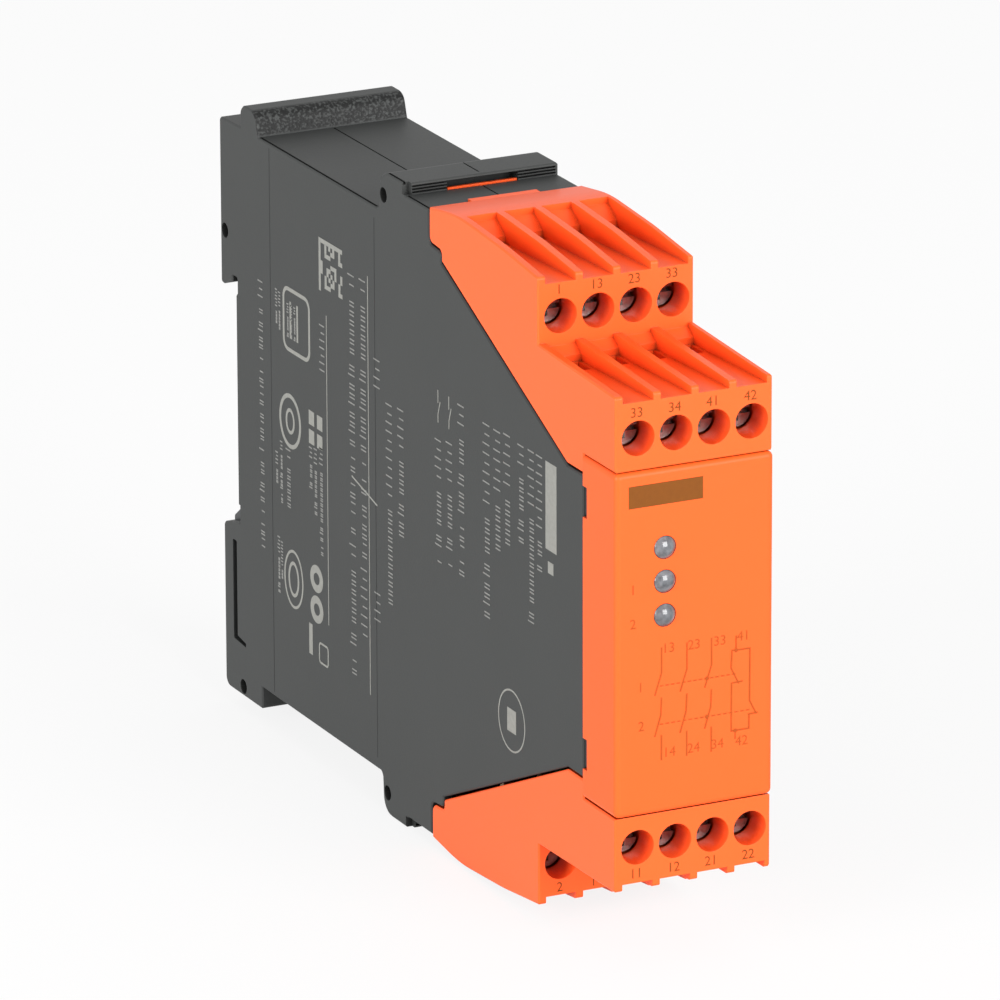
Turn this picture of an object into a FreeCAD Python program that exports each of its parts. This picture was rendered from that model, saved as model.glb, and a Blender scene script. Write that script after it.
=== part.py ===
"""Safety relay module for a 35 mm mounting rail, with four tiers of screw terminals.

Frame: origin at the middle of the face that rests on the rail. X runs along the rail, +Y points to
the rail (the front looks along -Y) and +Z is up. Lengths are millimetres. Depths are measured from
the face of the front cover, and heights from the middle of the module.
"""
import FreeCAD, Part
import math
import os
from FreeCAD import Vector

os.makedirs("parts", exist_ok=True)

# ---- driving dimensions: overall -----------------------------------------------------------------
width = 22.5              # across the case, along the rail
total_depth = 121.0       # cover face to the back of the hook
hook_depth = 4.8          # rail seat to the back of the hook
wall = 1.4                # case wall
fit_gap = 0.1             # between pieces that are clipped together
seam_gap = 0.3            # between the case and the terminal blocks
edge_break = 0.2          # small chamfer along the side edges
front_drop = 0.45         # the cover and the front tiers sit this much low of the middle

# ---- terminal blocks: tiers ----------------------------------------------------------------------
pitch = 5.42              # terminal to terminal
row_offset = 0.15         # the row sits a little to the right
poles = 4
rib = 1.05                # rib between two wire funnels
front_face = 0.45         # depth of the front tiers' faces
funnel_length = 16.7      # tier face to the front of the wire hole
hole_length = 3.75        # wire hole along the depth
hole_width = 3.4
tier_web = 1.7            # wire hole to the rear tier's face
slope_length = 2.6        # rear slope of the funnel, and its heights above the funnel floor
slope_bottom_rise = 0.95
slope_top_rise = 2.55
roof_land = 0.85          # funnel to the highest line of the roof
roof_length = 8.1         # highest line of the roof to the block's rear face
slope_run = 3.65          # block's rear face to the rear end of its sloped edge
slope_front = 14.2        # depth where the sloped edge starts

# ---- terminal blocks: half heights ---------------------------------------------------------------
rib_front_height = 33.45  # top of the ribs at the front tiers' faces
rib_climb = 0.75          # and how much they rise on the way to the rear tiers
front_screw_below = 5.8   # screw axis below the rib top
rear_screw_below = 5.5
seam_below_screw = 4.25   # edge of the cover below the front tiers' screws
edge_below_seam = 2.55    # start of the sloped edge below the edge of the cover
floor_below_rib = 0.95    # funnel floor below the rib at the face
funnel_fall = 0.55
roof_rise = 1.1           # highest line of the roof above the block's rear edge
rear_rib_below_roof = 2.1
roof_round = 60.0
crest_round = 30.0
roof_bow = 0.85           # how far the bend of the ribs' top lies below the highest line
roof_bow_depth = 13.0

# ---- terminal blocks: screw holes and snap tongue ------------------------------------------------
bore_radius = 2.35        # screwdriver hole
head_sink = 4.5           # depth of the screw head below the face
head_clear = 0.2          # the hole widens to a square pocket this far in front of the head
head_room = 4.85          # across the pocket
seat_web = 1.3            # web under the screw head
chamber_roof = 1.1        # skin over the clamp, below the funnel floor
chamber_length = 14.4
pocket_wall = 1.3
tongue_half = 5.1         # snap tongue of the block
tongue_offset = 0.1
tongue_thick = 1.0
tongue_below = 0.75       # slot of the tongue below the ledge
tongue_reach = 1.4        # tongue behind the bar's front face
tongue_nose = 1.1
tab_length = 1.25
tab_deep = 0.7
tab_left = -5.0
tab_right = 5.0

# ---- case: half heights --------------------------------------------------------------------------
narrow_height = 39.6      # half height behind the step
ledge_rise = 3.95         # ledge in front of the raised bars
bar_rise = 1.6            # raised bars above the ledge
block_proud = 0.35        # terminal block's rear edge above the ledge
ridge_rise = 3.3          # grip ridge over the hook
foot_drop = 3.2           # how far the foot reaches below the narrow part
notch_drop = 0.4          # small step of the case's edge below the narrow part
slope_drop = 2.15         # rear end of the sloped edge below the narrow part
step_round = 2.5

# ---- case: depths --------------------------------------------------------------------------------
ledge_length = 7.3        # terminal block to the raised bars
bar_length = 8.2
ridge_before_seat = 7.9   # grip ridge, from front to rear face
ridge_thick = 5.9
foot_before_seat = 7.3
case_front = 9.55         # depth of the case's front edge
side_groove = 0.35        # line between side plate and top
middle_seam = 0.24        # line between the half shells
groove_deep = 0.4
bar_grooves = 3           # fine grooves across the front of each raised bar
bar_groove = 0.24
bar_groove_deep = 0.6
bar_corner = 0.95         # notch in the bar's left front corner
bar_end = 0.4             # the grooves end this far from the right side
bar_skin = 0.35           # top of the bar over its slot

# ---- rail seat, hook and latch -------------------------------------------------------------------
rail_height = 35.0        # top-hat rail, across its flanges
rail_play = 0.15
seat_below_rail = 2.3     # half height of the seat inside the rail's edge
seat_relief = 0.45
lip_below_rail = 2.1      # lower corner of the hook behind the rail
lip_rise = 1.3
flange_room = 1.2         # slot that the rail's flange fills
latch_travel = 2.5
latch_gap = 0.15
latch_bite = 1.1          # how far the latch reaches over the flange
foot_slope = 1.25         # slope on the foot behind the rail
stem_room = 3.8           # latch channel in front of the seat
pin_before_seat = 1.1
window_half = 3.2         # window of the latch for the spring
spring_length = 8.9
peg_thick = 1.5
peg_half = 2.4
peg_above_foot = 11.3
spring_radius = 2.0       # to the middle of the wire
spring_wire = 0.5
spring_turns = 6
spring_play = 0.05
pull_half = 3.8
pull_behind_seat = 1.3
pull_tall = 4.8
pull_gap = 0.2
nose_tall = 2.8

# ---- snap pins that join the half shells ---------------------------------------------------------
snap_pin_radius = 1.0
snap_pin_gap = 0.05
snap_boss_radius = 2.0
snap_pin_recess = 3.0     # the pins end this far inside the left side

# ---- side slot of the foot -----------------------------------------------------------------------
foot_slot_width = 1.3
foot_slot_behind = 1.3    # middle of the slot behind the seat
foot_slot_top = 20.6
foot_slot_length = 14.7
foot_slot_turn = 4.0

# ---- terminal screws, clamps and contact bars ----------------------------------------------------
screw_radius = 1.5        # M3
head_radius = 2.1
head_thick = 2.2
recess_width = 0.7
recess_deep = 0.9
cross_length = 2.6
cross_deep = 1.5
running_gap = 0.05
clamp_width = 4.1
clamp_height = 5.4
clamp_side = 0.5
clamp_front = 1.8
clamp_rear = 0.9
clamp_gap_to_bar = 2.2    # room for the screw tip side to move
wire_room = 3.7           # open clamp, bar to rear wall
bar_thick = 1.0
bar_width = 2.8
bar_over = 0.1            # the bar stands this much above the clamp
bar_under = 0.4
tail_width = 1.4
tail_step = 2.2
tail_first = 6.1

# ---- front cover and lights ----------------------------------------------------------------------
cover_proud = 0.1
cover_depth = 9.45
cover_plate = 2.0
cover_wall = 1.3
cover_round = 0.75
cover_corner = 0.8
light_x = -4.34
light_top = 12.2
light_pitch = 4.57
light_radius = 1.5
light_gap = 0.07
dome_rise = 0.7
light_flange = 0.4
flange_thick = 1.0
lead_half = 0.25
window_height = 4.2
window_deep = 1.15
window_below_edge = 6.3
lip_front = 3.5
lip_thick = 1.0
lip_below_edge = 4.4

# ---- inside --------------------------------------------------------------------------------------
board_left = 5.6          # left face of the main board
board_thick = 1.6
board_before_seat = 6.2
board_inset = 0.8         # board edge inside the case's sloped edges
board_room = 3.1          # board edge inside the narrow part
light_board_depth = 6.1
light_board_room = 6.65   # board edge inside the edge of the cover
light_board_left = 8.6
relay_length = 40.0
relay_width = 13.0
relay_tall = 14.6
relay_inset = 4.0         # relays to the board's rear edge
relay_middle = 9.5
relay_pin_width = 0.8
relay_pin_thick = 0.5
relay_pin_row = 4.5       # rows of pins to the relay's middle
capacitor_radius = 5.0
capacitor_tall = 12.5
chip_length = 10.2
chip_breadth = 7.5
chip_thick = 2.3
chip_lift = 0.15
leg_pitch = 1.6
leg_length = 1.2
limiter_radius = 4.5
limiter_thick = 3.6

# ---- places that follow from the sizes above -----------------------------------------------------
half = width / 2
channel = pitch - rib
pole_places = [row_offset + pitch * (index - (poles - 1) / 2) for index in range(poles)]

seat_depth = total_depth - hook_depth
ridge_front = seat_depth - ridge_before_seat
ridge_rear = ridge_front + ridge_thick
foot_front = seat_depth - foot_before_seat
stem_front = seat_depth - stem_room
foot_slot_depth = seat_depth + foot_slot_behind
pull_front = seat_depth + pull_behind_seat
board_rear = seat_depth - board_before_seat
relay_front = board_rear - relay_inset - relay_length

tier_step = funnel_length + hole_length + tier_web
roof_front = front_face + tier_step + funnel_length + hole_length + fit_gap + slope_length + roof_land
block_rear = roof_front + roof_length
slope_rear = block_rear - slope_run
bar_front = block_rear + ledge_length
step_depth = bar_front + bar_length
tongue_end = bar_front + tongue_reach

screw_height = rib_front_height - front_screw_below
cover_seam = screw_height - seam_below_screw
front_edge_height = cover_seam - edge_below_seam
rib_rear_height = rib_front_height + rib_climb
ledge_height = narrow_height + ledge_rise
plateau_height = ledge_height + bar_rise
block_rear_height = ledge_height + block_proud
roof_height = block_rear_height + roof_rise
rear_rib_front_height = roof_height - rear_rib_below_roof
tier_rise = rear_rib_front_height - rear_screw_below - screw_height
ridge_height = narrow_height + ridge_rise
foot_height = narrow_height + foot_drop
notch_height = narrow_height - notch_drop
slope_rear_height = narrow_height - slope_drop

flange_height = rail_height / 2 + rail_play
seat_height = rail_height / 2 - seat_below_rail
hook_lip_height = rail_height / 2 - lip_below_rail
foot_slope_front = flange_height
foot_slope_rear = foot_slope_front + foot_slope
peg_top = foot_height - peg_above_foot
latch_window_top = peg_top - spring_length

light_heights = [light_top - light_pitch * index for index in range(3)]
window_middles = [side * (cover_seam - window_below_edge) - front_drop for side in (1, -1)]
pin_rear_depth = seat_depth - pin_before_seat
snap_pin_places = [(seat_depth + 3.35, 23.5), (pin_rear_depth, -foot_height + 1.4),
                   (step_depth - 1.5, ledge_height - 1.65), (step_depth - 1.6, -ledge_height + 1.45)]


# ---- construction helpers ------------------------------------------------------------------------
def place(x, depth, height):
    """Point in the module's frame, from a depth behind the cover face."""
    return Vector(x, depth - seat_depth, height)


def outline(corners):
    """Closed side outline through (depth, height, radius) corners, rounded where radius > 0."""
    points = [place(0, corner[0], corner[1]) for corner in corners]
    radii = [corner[2] if len(corner) > 2 else 0 for corner in corners]
    edges = []
    ends = []
    for index, point in enumerate(points):
        before = (points[index - 1] - point).normalize()
        after = (points[(index + 1) % len(points)] - point).normalize()
        if radii[index] == 0:
            ends.append((point, None, point))
            continue
        half_angle = before.getAngle(after) / 2
        reach = radii[index] / math.tan(half_angle)
        inward = (before + after).normalize()
        middle = point + inward * (radii[index] / math.sin(half_angle) - radii[index])
        ends.append((point + before * reach, middle, point + after * reach))
    for index, (start, middle, end) in enumerate(ends):
        if middle is not None:
            edges.append(Part.Arc(start, middle, end).toShape())
        edges.append(Part.LineSegment(end, ends[(index + 1) % len(ends)][0]).toShape())
    return Part.Wire(edges)


def slab(corners, x_low, x_high):
    """Side outline swept along X."""
    face = Part.Face(outline(corners))
    face.translate(Vector(x_low, 0, 0))
    return face.extrude(Vector(x_high - x_low, 0, 0))


def brick(x_span, depth_span, height_span):
    """Rectangular block between two corners."""
    size = [span[1] - span[0] for span in (x_span, depth_span, height_span)]
    return Part.makeBox(*size, place(x_span[0], depth_span[0], height_span[0]))


def rod(x, height, radius, depth_low, depth_high):
    """Cylinder along the depth."""
    return Part.makeCylinder(radius, depth_high - depth_low, place(x, depth_low, height), Vector(0, 1, 0))


def cross_rod(depth, height, radius, x_low, x_high):
    """Cylinder along the rail."""
    return Part.makeCylinder(radius, x_high - x_low, place(x_low, depth, height), Vector(1, 0, 0))


def edges_at_side(solid, x):
    """Edges that lie in the side plane at x."""
    return [edge for edge in solid.Edges if all(abs(v.X - x) < 1e-4 for v in edge.Vertexes)]


def upright_edges(solid, x, depth):
    """Upright edges at one x and depth."""
    found = []
    for edge in solid.Edges:
        ends = [vertex.Point for vertex in edge.Vertexes]
        on_line = all(abs(p.x - x) < 1e-4 and abs(p.y - depth + seat_depth) < 1e-4 for p in ends)
        if len(ends) == 2 and on_line:
            found.append(edge)
    return found


def write(node, solids):
    """Write one node; a list becomes a group of separate solids."""
    shape = solids if isinstance(solids, Part.Shape) else Part.makeCompound(solids)
    shape.exportStep("parts/" + node + ".step")


# ---- case: two half shells -----------------------------------------------------------------------
def case_outline():
    """Side outline of the case, from the hook round the top to the front and back below."""
    seat_top = hook_lip_height + lip_rise
    slot_rear = seat_depth + flange_room
    relief = seat_depth - seat_relief
    edge_depth = block_rear + seam_gap
    slope = (slope_rear_height - front_edge_height) / (slope_rear - slope_front)
    gap_up = seam_gap * math.hypot(1, slope)
    top = [
        (slot_rear, flange_height, 0.3), (slot_rear, seat_top, 0), (total_depth, hook_lip_height, 0.6),
        (total_depth, narrow_height - 0.2, 0.5), (ridge_rear, narrow_height, 0),
        (ridge_rear, ridge_height, 1.5), (ridge_front + 1.1, ridge_height, 1.8),
        (ridge_front, narrow_height, 0), (step_depth, narrow_height, 0.8),
        (step_depth - 0.4, plateau_height, step_round), (bar_front, plateau_height, 0.3),
        (bar_front, ledge_height, 0), (edge_depth, ledge_height, 0),
        (edge_depth, notch_height - seam_gap, 1.0), (slope_rear + seam_gap, notch_height - seam_gap - 0.3, 0.8),
        (slope_rear + seam_gap, slope_rear_height - gap_up, 0),
        (slope_front, front_edge_height - front_drop - gap_up, 0.3),
        (case_front, front_edge_height - front_drop - gap_up, 0)]
    bottom = [
        (case_front, -front_edge_height - front_drop + gap_up, 0),
        (slope_front, -front_edge_height - front_drop + gap_up, 0.3),
        (slope_rear + seam_gap, -slope_rear_height + gap_up, 0),
        (slope_rear + seam_gap, -notch_height + seam_gap + 0.3, 0.8), (edge_depth, -notch_height + seam_gap, 1.0),
        (edge_depth, -ledge_height, 0), (bar_front, -ledge_height, 0),
        (bar_front, -plateau_height, 0.3), (step_depth - 0.4, -plateau_height, step_round),
        (step_depth, -narrow_height, 0.8), (foot_front, -narrow_height, 0),
        (foot_front, -foot_height, 0.5), (total_depth, -foot_height, 1.4),
        (total_depth, -foot_slope_rear, 0.6), (seat_depth, -foot_slope_front, 0),
        (relief, -foot_slope_front, 0), (relief, -seat_height, 0), (seat_depth, -seat_height, 0),
        (seat_depth, seat_height, 0), (relief, seat_height, 0), (relief, flange_height, 0.3)]
    return top + bottom


def case_cavity():
    """Inside of the case, open towards the terminal blocks and the cover."""
    inner_low = narrow_height - wall
    inner_high = ledge_height - wall
    inner_rear = total_depth - wall
    over_hook = flange_height + wall
    before_step = step_depth - wall
    behind_seat = seat_depth - seat_relief - wall
    before_latch = stem_front - wall
    corners = [
        (inner_rear, inner_low), (inner_rear, over_hook), (behind_seat, over_hook),
        (behind_seat, -foot_slope_front), (before_latch, -foot_slope_front), (before_latch, -inner_low),
        (before_step, -inner_low), (before_step, -inner_high), (0, -inner_high), (0, inner_high),
        (before_step, inner_high), (before_step, inner_low)]
    return slab(corners, -half + wall, half - wall)


def latch_room():
    """Channel in the foot that the latch slides in, open to the rail and below the pull tab."""
    side = half - wall
    rear = total_depth - wall
    relief = seat_depth - seat_relief
    nose_low = foot_slope_rear + latch_travel + nose_tall
    stem = brick((-side, side), (stem_front, rear), (-foot_height + wall, -foot_slope_front - wall))
    nose = brick((-side, side), (relief, total_depth + 1), (-nose_low, -seat_height + 1))
    pull = brick((-pull_half - pull_gap, pull_half + pull_gap), (pull_front - pull_gap, rear),
                 (-foot_height - 1, -foot_height + pull_tall + latch_travel))
    return stem.fuse([nose, pull])


def foot_side_slot():
    """Narrow slot in the side of the foot, with a short turn at its lower end."""
    low = foot_slot_depth - foot_slot_width / 2
    high = foot_slot_depth + foot_slot_width / 2
    bottom = foot_slot_top + foot_slot_length
    corners = [
        (high, -foot_slot_top, 0.3), (high, -bottom + 0.2, 0.3),
        (high - foot_slot_turn, -bottom - 0.1, 0), (high - foot_slot_turn, -bottom + 0.45, 0),
        (low, -bottom + 0.9, 0), (low, -foot_slot_top, 0.3)]
    return slab(corners, -half - 1, -half + wall + 0.2)


def snap_slot(side):
    """Slot for the block's snap tongue, and the grooved front of the raised bar; side +1 is above."""
    x_span = (tongue_offset - tongue_half - fit_gap, tongue_offset + tongue_half + fit_gap)
    slot_top = ledge_height - tongue_below
    under = brick(x_span, (block_rear - 1, tongue_end + 1), (ledge_height - wall - 1, slot_top))
    nose = brick(x_span, (bar_front - 0.1, tongue_end + 1), (slot_top - 0.5, plateau_height - bar_skin))
    tab = brick((tab_left - fit_gap, tab_right + fit_gap), (block_rear - 1, block_rear + tab_length + fit_gap),
                (ledge_height - tab_deep - fit_gap, ledge_height + 1))
    cuts = [nose, tab, brick((-half - 1, -half + bar_corner), (bar_front - 1, bar_front + bar_corner),
                             (ledge_height, plateau_height + 1))]
    step = (bar_rise - bar_skin) / bar_grooves
    for index in range(bar_grooves):
        low = ledge_height + index * step + (step - bar_groove)
        cuts.append(brick((-half + bar_corner + 0.1, half - bar_end), (bar_front - 1, bar_front + bar_groove_deep),
                          (low, low + bar_groove)))
    slot = under.fuse(cuts)
    if side < 0:
        slot = slot.mirror(Vector(0, 0, 0), Vector(0, 0, 1))
    return slot


def case_shells():
    """Left and right half shells, joined by four snap pins."""
    body = slab(case_outline(), -half, half)
    body = body.makeChamfer(edge_break, edges_at_side(body, -half) + edges_at_side(body, half))
    hollow = body.cut([case_cavity(), latch_room(), foot_side_slot(), snap_slot(1), snap_slot(-1)])
    groove_depths = [(step_depth + 1.0, ridge_front, narrow_height),
                     (bar_front + bar_corner, step_depth - step_round, plateau_height),
                     (block_rear + seam_gap, bar_front, ledge_height)]
    groove_x = (-half + edge_break, -half + edge_break + side_groove)
    grooves = [brick(groove_x, (low, high), (height - groove_deep, height + 1))
               for low, high, height in groove_depths]
    grooves += [brick((-middle_seam / 2, middle_seam / 2), (low, high), (height - groove_deep, height + 1))
                for low, high, height in groove_depths]
    hollow = hollow.cut(grooves)
    side = half - wall
    lip_x = half + cover_proud - cover_wall - fit_gap
    additions = {-1: [], 1: []}
    for hand in (-1, 1):
        inner, outer = sorted((hand * (lip_x - lip_thick), hand * lip_x))
        lip_half = cover_seam - lip_below_edge
        additions[hand].append(brick((inner, outer), (lip_front, case_front + 3),
                                     (-front_drop / 2 - lip_half, -front_drop / 2 + lip_half)))
        for height in window_middles:
            low, high = sorted((hand * (lip_x - 0.2), hand * (half - 0.3)))
            additions[hand].append(brick((low, high), (cover_depth - window_deep + fit_gap, case_front + 0.5),
                                         (height - window_height / 2 + fit_gap,
                                          height + window_height / 2 - fit_gap)))
        peg = sorted((0, hand * peg_half))
        additions[hand].append(brick(peg, (stem_front - 0.5, total_depth - wall - 1.0),
                                     (-peg_top - peg_thick, -peg_top)))
        for depth, height in snap_pin_places:
            low, high = sorted((0, hand * (side + 0.5)))
            boss = cross_rod(depth, height, snap_boss_radius, low, high).common(body)
            additions[hand].append(boss)
    left_box = brick((-half - 5, 0), (-5, total_depth + 5), (-60, 60))
    right_box = brick((0, half + 5), (-5, total_depth + 5), (-60, 60))
    left = hollow.common(left_box).fuse(additions[-1])
    right = hollow.common(right_box).fuse(additions[1])
    left = left.cut([cross_rod(depth, height, snap_pin_radius + snap_pin_gap, -half - 1, 1)
                     for depth, height in snap_pin_places])
    right = right.fuse([cross_rod(depth, height, snap_pin_radius, -half + snap_pin_recess, 1)
                        for depth, height in snap_pin_places])
    return left.removeSplitter(), right.removeSplitter()


# ---- rail latch and its spring -------------------------------------------------------------------
def rail_latch():
    """Sliding latch: a stem in the foot, a nose behind the rail's lower flange and a pull tab."""
    side = half - wall - latch_gap
    front = stem_front + latch_gap
    rear = total_depth - wall - latch_gap
    relief = seat_depth - seat_relief + 0.1
    slot_rear = seat_depth + flange_room
    nose_top = rail_height / 2 - latch_bite
    stem_top = foot_slope_front + wall + 0.3
    stem_bottom = -foot_height + wall + latch_travel + latch_gap
    nose_slope = nose_top + 1.8
    nose_bottom = foot_slope_rear + 2.5
    corners = [
        (front, -stem_top), (relief, -stem_top), (relief, -flange_height), (slot_rear, -flange_height),
        (slot_rear, -nose_top, 0.2), (slot_rear + 1.0, -nose_top, 0.4), (total_depth - 0.2, -nose_slope, 0.4),
        (total_depth - 0.2, -nose_bottom), (rear, -nose_bottom), (rear, stem_bottom), (front, stem_bottom)]
    body = slab(corners, -side, side)
    window = brick((-window_half, window_half), (front - 1, rear + 1),
                   (-peg_top - peg_thick - 0.2, -latch_window_top))
    pull = brick((-pull_half, pull_half), (pull_front, rear), (-foot_height - 0.1, -foot_height + pull_tall))
    notch = brick((-1.8, 1.8), (pull_front - 1, rear + 1), (-foot_height + 0.9, -foot_height + 2.1))
    pin_low = snap_pin_places[1][1]
    room = snap_boss_radius + 0.3
    pin_top = cross_rod(pin_rear_depth, pin_low + latch_travel, room, -side - 1, side + 1)
    pin_way = brick((-side - 1, side + 1), (pin_rear_depth - room, pin_rear_depth + room),
                    (pin_low - room, pin_low + latch_travel))
    return body.cut([window, pin_top, pin_way]).fuse(pull.cut(notch)).removeSplitter()


def latch_spring():
    """Compression spring between the case's peg and the latch."""
    bottom = -peg_top + spring_wire / 2 + spring_play
    top = -latch_window_top - spring_wire / 2 - spring_play
    depth = (stem_front + total_depth - wall) / 2
    helix = Part.makeHelix((top - bottom) / spring_turns, top - bottom, spring_radius)
    helix.translate(place(0, depth, bottom))
    start = place(spring_radius, depth, bottom)
    section = Part.makePolygon([start + Vector(x * spring_wire / 2, 0, z * spring_wire / 2)
                                for x, z in ((1, 0), (0, 1), (-1, 0), (0, -1), (1, 0))])
    return Part.Wire(helix.Edges).makePipeShell([section], True, True)


# ---- terminal blocks -----------------------------------------------------------------------------
def block_outline(drop):
    """Side outline of a terminal block, as it stands above the cover."""
    seam = cover_seam + drop
    face_rear = front_face + tier_step
    return [
        (block_rear, block_rear_height, 0), (block_rear, notch_height, 1.0),
        (slope_rear, notch_height - 0.3, 0.8), (slope_rear, slope_rear_height, 0),
        (slope_front, front_edge_height + drop, 0), (cover_depth, front_edge_height + drop, 0),
        (cover_depth, seam, 0), (front_face, seam, 0), (front_face, rib_front_height + drop, 0.4),
        (face_rear, rib_rear_height + drop / 2, 0), (face_rear, rear_rib_front_height, 0.4),
        (roof_front - roof_bow_depth, roof_height - roof_bow, roof_round), (roof_front, roof_height, crest_round)]


def funnel(x, face, rib_front):
    """Open wire funnel behind one screw, with its sloped rear and the wire hole."""
    floor = rib_front - floor_below_rib
    hole_front = face + funnel_length
    hole_rear = hole_front + hole_length
    low = floor - funnel_fall
    corners = [
        (face - 1, floor + 0.02), (hole_front, low), (hole_rear + 0.1, low),
        (hole_rear + 0.1, low + slope_bottom_rise), (hole_rear + 0.1 + slope_length, low + slope_top_rise),
        (hole_rear + 0.1 + slope_length, rib_front + 9), (face - 1, rib_front + 9)]
    trough = slab(corners, x - channel / 2, x + channel / 2)
    hole = brick((x - hole_width / 2, x + hole_width / 2), (hole_front, hole_rear),
                 (low - chamber_roof - 1, low + 1))
    return trough, hole


def screw_way(x, face, height):
    """Screwdriver hole, square pocket round the screw head, and shank hole."""
    seat = face + head_sink + head_thick
    bore = rod(x, height, bore_radius, face - 0.5, face + head_sink - 0.1)
    pocket = brick((x - head_room / 2, x + head_room / 2), (face + head_sink - head_clear, seat),
                   (height - head_room / 2, height + head_room / 2))
    shank = rod(x, height, screw_radius + running_gap, seat - 0.5, seat + seat_web + 0.5)
    return [bore, pocket, shank]


def clamp_chamber(x, face, rib_front):
    """Chamber that the clamp slides in, open towards the inside of the case."""
    top = rib_front - floor_below_rib - funnel_fall - chamber_roof
    front = face + head_sink + head_thick + seat_web
    return brick((x - channel / 2, x + channel / 2), (front, front + chamber_length), (10, top))


def terminal_block(drop):
    """Terminal block of one side, built as the upper one."""
    body = slab(block_outline(drop), -half, half)
    body = body.makeChamfer(edge_break, edges_at_side(body, -half) + edges_at_side(body, half))
    front_rib = rib_front_height + drop
    face_rear = front_face + tier_step
    cuts = []
    for x in pole_places:
        for face, rib_top, height in ((front_face, front_rib, screw_height + drop),
                                      (face_rear, rear_rib_front_height, screw_height + tier_rise)):
            trough, hole = funnel(x, face, rib_top)
            if face == front_face:
                limit = brick((-half, half), (-5, face_rear), (0, 60))
                trough = trough.common(limit)
            cuts += [trough, hole, clamp_chamber(x, face, rib_top)]
            cuts += screw_way(x, face, height)
    inner = half - pocket_wall
    rear_pocket = brick((-inner, inner), (roof_front - 0.6, block_rear - wall), (10, block_rear_height - wall))
    mid_pocket = brick((-inner, inner), (face_rear + pocket_wall, face_rear + head_sink + head_thick - 0.3),
                       (10, rib_rear_height - 0.4))
    body = body.cut(cuts + [rear_pocket, mid_pocket])
    x_span = (tongue_offset - tongue_half, tongue_offset + tongue_half)
    top = ledge_height - tongue_below - fit_gap
    tongue = brick(x_span, (block_rear - 1, tongue_end), (top - tongue_thick, top))
    nose_front = bar_front + 0.1
    nose = slab([(nose_front, top - 0.3), (nose_front, top + tongue_nose), (nose_front + 0.5, top + tongue_nose),
                 (tongue_end, top - 0.3)], *x_span)
    tab = brick((tab_left, tab_right), (block_rear - 1, block_rear + tab_length),
                (ledge_height - tab_deep, block_rear_height))
    return body.fuse([tongue, nose, tab]).removeSplitter()


# ---- terminal screw, clamp and contact bar -------------------------------------------------------
def terminal_screw(x, face, height):
    """Captive screw with a slot and cross recess; its tip bears on the contact bar."""
    head_front = face + head_sink
    seat = head_front + head_thick
    tip = bar_depth(face) - 0.05
    head = rod(x, height, head_radius, head_front, seat)
    shank = rod(x, height, screw_radius, seat - 0.1, tip)
    slot = brick((x - head_radius - 1, x + head_radius + 1), (head_front - 1, head_front + recess_deep),
                 (height - recess_width / 2, height + recess_width / 2))
    cross = brick((x - recess_width / 2, x + recess_width / 2), (head_front - 1, head_front + cross_deep),
                  (height - cross_length / 2, height + cross_length / 2))
    return head.fuse(shank).cut([slot, cross]).removeSplitter()


def bar_depth(face):
    """Depth of a contact bar's front face behind its tier's face."""
    return face + funnel_length - bar_thick - 0.05


def clamp_cage(x, face, height):
    """Box clamp, open: the threaded front wall, two sides and the wall that lifts the wire."""
    bar = bar_depth(face)
    rear_inner = bar + bar_thick + wire_room
    front_inner = bar - clamp_gap_to_bar
    outside = brick((x - clamp_width / 2, x + clamp_width / 2), (front_inner - clamp_front, rear_inner + clamp_rear),
                    (height - clamp_height / 2, height + clamp_height / 2))
    inside = brick((x - clamp_width / 2 + clamp_side, x + clamp_width / 2 - clamp_side),
                   (front_inner, rear_inner), (height - clamp_height, height + clamp_height))
    thread = rod(x, height, screw_radius + running_gap, front_inner - clamp_front - 1, front_inner + 1)
    return outside.cut([inside, thread])


def contact_bar(pole, face, height, side):
    """Contact bar behind the screw, with its tail bent across to the main board."""
    x = pole_places[pole]
    front = bar_depth(face)
    depths = (front, front + bar_thick)
    bottom = height - clamp_height / 2 - bar_under
    tail_height = bottom - tail_first - tail_step * (poles - 1 - pole)
    plate = brick((x - bar_width / 2, x + bar_width / 2), depths, (bottom, height + clamp_height / 2 + bar_over))
    drop = brick((x - tail_width / 2, x + tail_width / 2), depths, (tail_height, bottom + 0.1))
    low = min(x - tail_width / 2, board_left - 1.0)
    high = max(x + tail_width / 2, board_left + board_thick + 1.0)
    run = brick((low, high), depths, (tail_height, tail_height + tail_width))
    bar = plate.fuse([drop, run]).removeSplitter()
    hole = brick((board_left - 1, board_left + board_thick + 1), (depths[0] - fit_gap, depths[1] + fit_gap),
                 (tail_height - fit_gap, tail_height + tail_width + fit_gap))
    if side < 0:
        down = (Vector(0, 0, 0), Vector(0, 0, 1))
        return bar.mirror(*down), hole.mirror(*down)
    return bar, hole


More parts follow.
